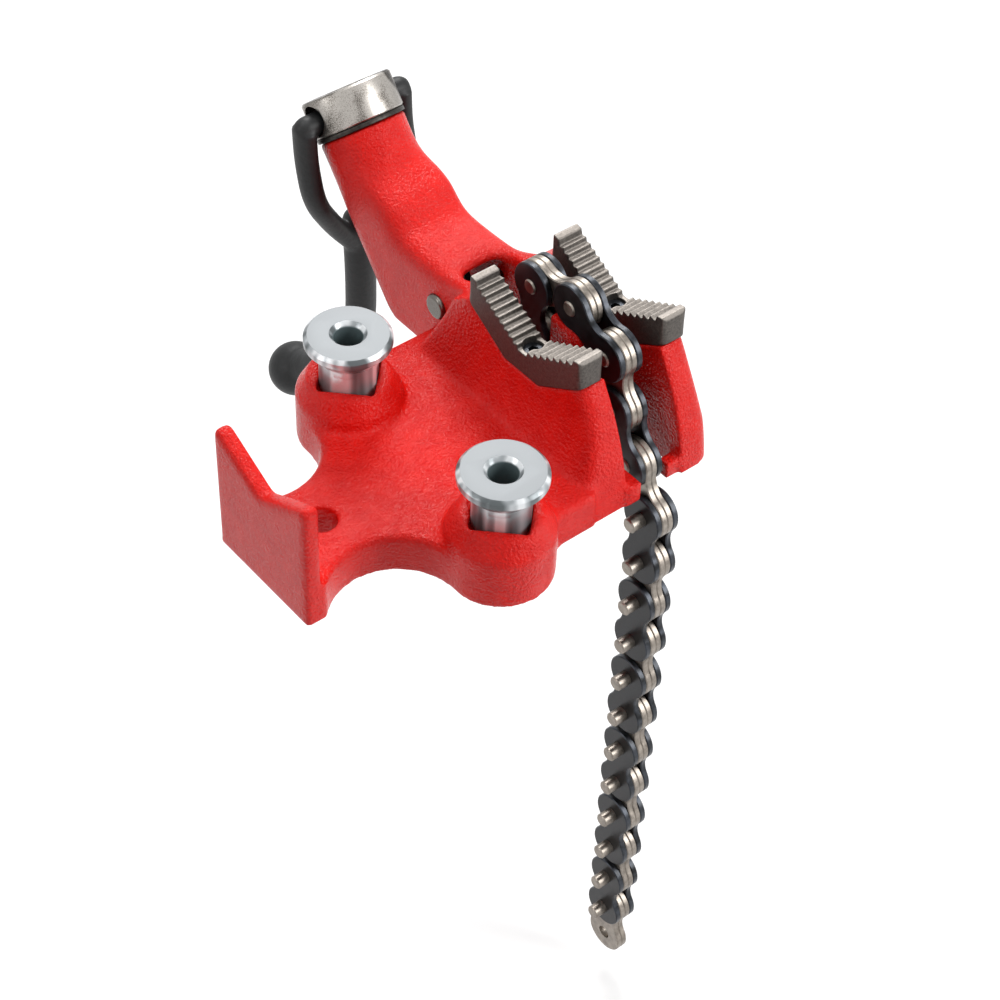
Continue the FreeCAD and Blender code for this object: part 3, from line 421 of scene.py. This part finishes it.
def casting_shares(p):
    """How much inside and outside corners of the casting are blended at points in millimetres."""
    x, y, z = p.T
    along = (y - COLUMN_FOOT_Y) * math.sin(COLUMN_LEAN) + z * math.cos(COLUMN_LEAN)
    from_chain = np.abs(x - CHAIN_X)
    kept = near(np.hypot(x, np.abs(y) - SPOOL_Y), POCKET_R, 2.0) * near(-z, -POCKET_TOP, 3.0)
    seats = near(from_chain, SEAT_X, 3.0) * near(np.abs(y), SEAT_Y, 3.0) * near(-z, -SEAT_Z, 4.0)
    for place in (near(np.hypot(x - CENTRE_BOLT_X, y), PAD_R, 3.0),
                  seats,
                  near(from_chain, SLOT_X, 3.0) * near(y, SLOT_Y, 4.0),
                  near(np.hypot(y - GUIDE_Y, z - GUIDE_Z), GUIDE_R, 4.0),
                  near(COLUMN_TOP - along, TURNED_TOP, 3.0),
                  near(z, BENCH_Z, 3.0)):
        kept = np.maximum(kept, place)
    column = near(-z, -COLUMN_Z, 10.0) * near(-y, -COLUMN_Y, 12.0)
    fill = (0.2 + 0.8 * column) * (1.0 - 0.95 * kept)
    wear = (0.07 + 0.93 * column) * (1.0 - 0.9 * kept)
    return fill, wear


def forging_shares(p):
    """The same blending all over: dies fill inside corners and wear outside ones less."""
    same = np.ones(len(p))
    return same, 0.4 * same


def foundry_skin(rough, node, body, material, voxel_mm, passes, shares, kept_faces=1.0):
    """Replaces a node by a rough mesh whose corners are rounded as sand, dies and enamel do."""
    mesh = through(rough, "REMESH", mode="VOXEL", voxel_size=voxel_mm * MM)
    blend_corners(mesh, passes, shares)
    if kept_faces < 1.0:
        mesh = through(mesh, "DECIMATE", ratio=kept_faces)
    limit_low, limit_high = (np.array(v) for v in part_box(node))
    points = np.clip(numbers(mesh.vertices, "co", 3), limit_low, limit_high)
    mesh.vertices.foreach_set("co", points.astype(np.float32).ravel())
    mesh.update()
    mesh.shade_smooth()
    return put(mesh, node, body, material)


def bar(work, x0, x1, y, z, radius):
    """A round bar along X in a bmesh, in millimetres."""
    place = Matrix.Translation(Vector(((x0 + x1) / 2, y, z)) * MM) @ Matrix.Rotation(
        math.pi / 2, 4, "Y")
    bmesh.ops.create_cone(work, cap_ends=True, segments=HOOK_SIDES, radius1=radius * MM,
                          radius2=radius * MM, depth=(x1 - x0) * MM, matrix=place)


def hooked_fork():
    """The forging with both hooks reaching into the nut's bores."""
    mesh = welded("handle")
    y = COLUMN_FOOT_Y + BORE_S * math.sin(COLUMN_LEAN)
    z = BORE_S * math.cos(COLUMN_LEAN) - HOOK_DROP
    work = bmesh.new()
    work.from_mesh(mesh)
    for side in (-1, 1):
        ends = sorted((CHAIN_X + side * (NUT_R - HOOK_IN), CHAIN_X + side * (NUT_R + HOOK_IN)))
        bar(work, ends[0], ends[1], y, z, HOOK_R)
    work.to_mesh(mesh)
    work.free()
    return mesh


def flank(count):
    """One toothed flank of a jaw, from the flat strip outwards, as (y, z) points."""
    wide, high = FLANK_Y / count, FLANK_Z / count
    points = [(STRIP_HALF, STRIP_Z)]
    for tooth in range(count):
        y, z = STRIP_HALF + wide * tooth, STRIP_Z + high * tooth
        points.append((y + wide * TOOTH_LEAN, z + high * TOOTH_HOOK))
        points.append((y + wide, z + high))
    return points + list(JAW_END)


def toothed_jaw(x):
    """A V jaw: milled teeth, round corners at its ends and a sunk hole for its screw."""
    front, back = (flank(count) for count in TOOTH_COUNTS)
    ring = back + [(-y, z) for y, z in reversed(front)]
    work = bmesh.new()
    sides = [[work.verts.new(Vector((x + half, y, z)) * MM) for y, z in ring]
             for half in (-JAW_W / 2, JAW_W / 2)]
    for side in sides:
        work.faces.new(side)
    for k in range(len(ring)):
        work.faces.new((sides[0][k - 1], sides[0][k], sides[1][k], sides[1][k - 1]))
    bmesh.ops.recalc_face_normals(work, faces=work.faces[:])
    corners = [edge for edge in work.edges
               if all(abs(v.co.y) > (JAW_END[2][0] - 0.1) * MM for v in edge.verts)
               and abs(edge.verts[0].co.x - edge.verts[1].co.x) < WELD_MM * MM]
    bmesh.ops.bevel(work, geom=corners, offset=JAW_CORNER * MM, segments=4, profile=0.5,
                    affect="EDGES")
    mesh = bpy.data.meshes.new("jaw")
    work.to_mesh(mesh)
    work.clear()
    high = JAW_END[0][1]
    place = Matrix.Translation(Vector((x, 0, (SINK_FLOOR + high) / 2)) * MM)
    bmesh.ops.create_cone(work, cap_ends=True, segments=SINK_SIDES, radius1=SINK_R * MM,
                          radius2=SINK_R * MM, depth=(high - SINK_FLOOR) * MM, matrix=place)
    drill = bpy.data.meshes.new("drill")
    work.to_mesh(drill)
    work.free()
    cutter = bpy.data.objects.new("drill", drill)
    bpy.context.scene.collection.objects.link(cutter)
    mesh = through(mesh, "BOOLEAN", operation="DIFFERENCE", solver="EXACT", object=cutter)
    bpy.data.objects.remove(cutter)
    return mesh


def broken_edges(node, body, material, width_mm):
    """Replaces a node by a copy with its sharp edges broken, as turned or cut steel has them."""
    mesh = welded(node)
    work = bmesh.new()
    work.from_mesh(mesh)
    bmesh.ops.dissolve_limit(work, angle_limit=FLAT_TURN, verts=work.verts[:],
                             edges=work.edges[:])
    work.to_mesh(mesh)
    work.free()
    mesh = through(mesh, "BEVEL", width=width_mm * MM, segments=2, limit_method="ANGLE",
                   angle_limit=BROKEN_TURN, use_clamp_overlap=True)
    mesh.shade_smooth()
    mesh.set_sharp_from_angle(angle=SHARP_TURN)
    return put(mesh, node, body, material)


def put(mesh, node, body, material):
    """Puts a finished mesh on its body, in its node's place."""
    mesh.name = node + "_finished"
    mesh.materials.clear()
    mesh.materials.append(material)
    piece = bpy.data.objects.new(node + "_finished", mesh)
    bpy.context.scene.collection.objects.link(piece)
    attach(piece, body)
    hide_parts(node)
    return piece


def set_camera():
    """The photograph's camera."""
    data = bpy.data.cameras.new("camera")
    data.sensor_width = SENSOR_MM
    data.lens = FOCAL_PX * SENSOR_MM / IMAGE_PX
    data.clip_end = 10
    camera = bpy.data.objects.new("camera", data)
    bpy.context.scene.collection.objects.link(camera)
    columns = (CAMERA_RIGHT, -CAMERA_DOWN, -CAMERA_AHEAD)
    turn = Matrix(columns).transposed()
    camera.matrix_world = Matrix.Translation(CAMERA_MM * MM) @ turn.to_4x4()
    bpy.context.scene.camera = camera


def seen_mask(tree):
    """1 for rays from the camera, a mirror or glass, 0 for light that falls on the object."""
    rays = add_node(tree, "ShaderNodeLightPath").outputs
    seen = rays["Is Camera Ray"]
    for other in ("Is Glossy Ray", "Is Transmission Ray"):
        seen = add_node(tree, "ShaderNodeMath", {0: seen, 1: rays[other]},
                        operation="MAXIMUM").outputs[0]
    return seen


def set_floor():
    """A pale floor that shows white to the camera and in metal, and keeps the shadow."""
    mesh = bpy.data.meshes.new("floor")
    corners = [(-FLOOR_REACH, -FLOOR_REACH, FLOOR_Z), (FLOOR_REACH, -FLOOR_REACH, FLOOR_Z),
               (FLOOR_REACH, FLOOR_REACH, FLOOR_Z), (-FLOOR_REACH, FLOOR_REACH, FLOOR_Z)]
    mesh.from_pydata(corners, [], [(0, 1, 2, 3)])
    floor = bpy.data.objects.new("floor", mesh)
    bpy.context.scene.collection.objects.link(floor)
    material = bpy.data.materials.new("pale floor")
    material.use_nodes = True
    tree = material.node_tree
    tree.nodes.clear()
    paint = add_node(tree, "ShaderNodeBsdfDiffuse", {"Color": linear("#CBCBCB")})
    glow = add_node(tree, "ShaderNodeEmission", {
        "Color": linear("#FFFFFF"), "Strength": FLOOR_GLOW})
    both = add_node(tree, "ShaderNodeAddShader", {0: paint.outputs[0], 1: glow.outputs[0]})
    mixed = add_node(tree, "ShaderNodeMixShader", {0: seen_mask(tree), 1: paint.outputs[0],
                                                   2: both.outputs[0]})
    add_node(tree, "ShaderNodeOutputMaterial", {"Surface": mixed.outputs[0]})
    mesh.materials.append(material)


def set_world():
    """A white studio that itself gives little light."""
    world = bpy.data.worlds.new("studio")
    bpy.context.scene.world = world
    world.use_nodes = True
    tree = world.node_tree
    tree.nodes.clear()
    dim = add_node(tree, "ShaderNodeBackground", {
        "Color": linear("#FFFFFF"), "Strength": WORLD_LIGHT})
    white = add_node(tree, "ShaderNodeBackground", {"Color": linear("#FFFFFF"), "Strength": 1.0})
    mixed = add_node(tree, "ShaderNodeMixShader", {0: seen_mask(tree), 1: dim.outputs[0],
                                                   2: white.outputs[0]})
    add_node(tree, "ShaderNodeOutputWorld", {"Surface": mixed.outputs[0]})


def soft_box(name, place, target, size, power):
    """Square studio lamp at place, aimed at target; metres and watts."""
    data = bpy.data.lights.new(name, "AREA")
    data.shape = "RECTANGLE"
    data.size = size[0]
    data.size_y = size[1]
    data.energy = power
    lamp = bpy.data.objects.new(name, data)
    bpy.context.scene.collection.objects.link(lamp)
    lamp.location = place
    lamp.rotation_euler = (Vector(target) - Vector(place)).to_track_quat("-Z", "Y").to_euler()


set_camera()
set_floor()
set_world()
soft_box("back box", (0.62, 0.78, 0.95), (0.06, 0.05, 0.03), (0.5, 0.5), 12)
soft_box("top box", (0.0, 0.1, 1.3), (0.03, 0.0, 0.0), (0.9, 0.9), 5)
soft_box("right box", (0.8, -1.1, 0.6), (0.06, 0.0, 0.0), (0.5, 0.9), 16)
soft_box("left box", (-1.2, 0.3, 0.7), (0.03, 0.0, 0.0), (0.4, 0.9), 4)

enamel = red_enamel()
zinc = bright_zinc()
jaw_steel = phosphate_jaw()
nut_steel = turned_steel()
chain_steel = stamped_steel()
oxide = black_oxide()
rivet = polished_rivet()

foundry_skin(welded("base_casting"), "base_casting", "base", enamel, voxel_mm=0.8, passes=220,
             shares=casting_shares, kept_faces=0.45)
foundry_skin(hooked_fork(), "handle", "handle", forged_black(), voxel_mm=0.7, passes=14,
             shares=forging_shares)
for node, x in zip(("jaw_near", "jaw_far"), JAW_X):
    foundry_skin(toothed_jaw(x), node, "base", jaw_steel, voxel_mm=0.28, passes=8,
                 shares=forging_shares)
for node in ("spool_back", "spool_front"):
    broken_edges(node, "base", zinc, 0.35)
broken_edges("nut", "nut", nut_steel, 0.3)
broken_edges("washer", "base", washer_steel(), 0.3)
coat("screw", chain_steel)
coat("jaw_screws", oxide)
coat("guide_pin", rivet)
for node in NODES:
    if node.startswith("link_"):
        outer = int(node[5:7]) % 2 == 1
        coat(node, oxide if outer and node.endswith("_plates") else chain_steel)

scene = bpy.context.scene
scene.view_settings.view_transform = "Standard"
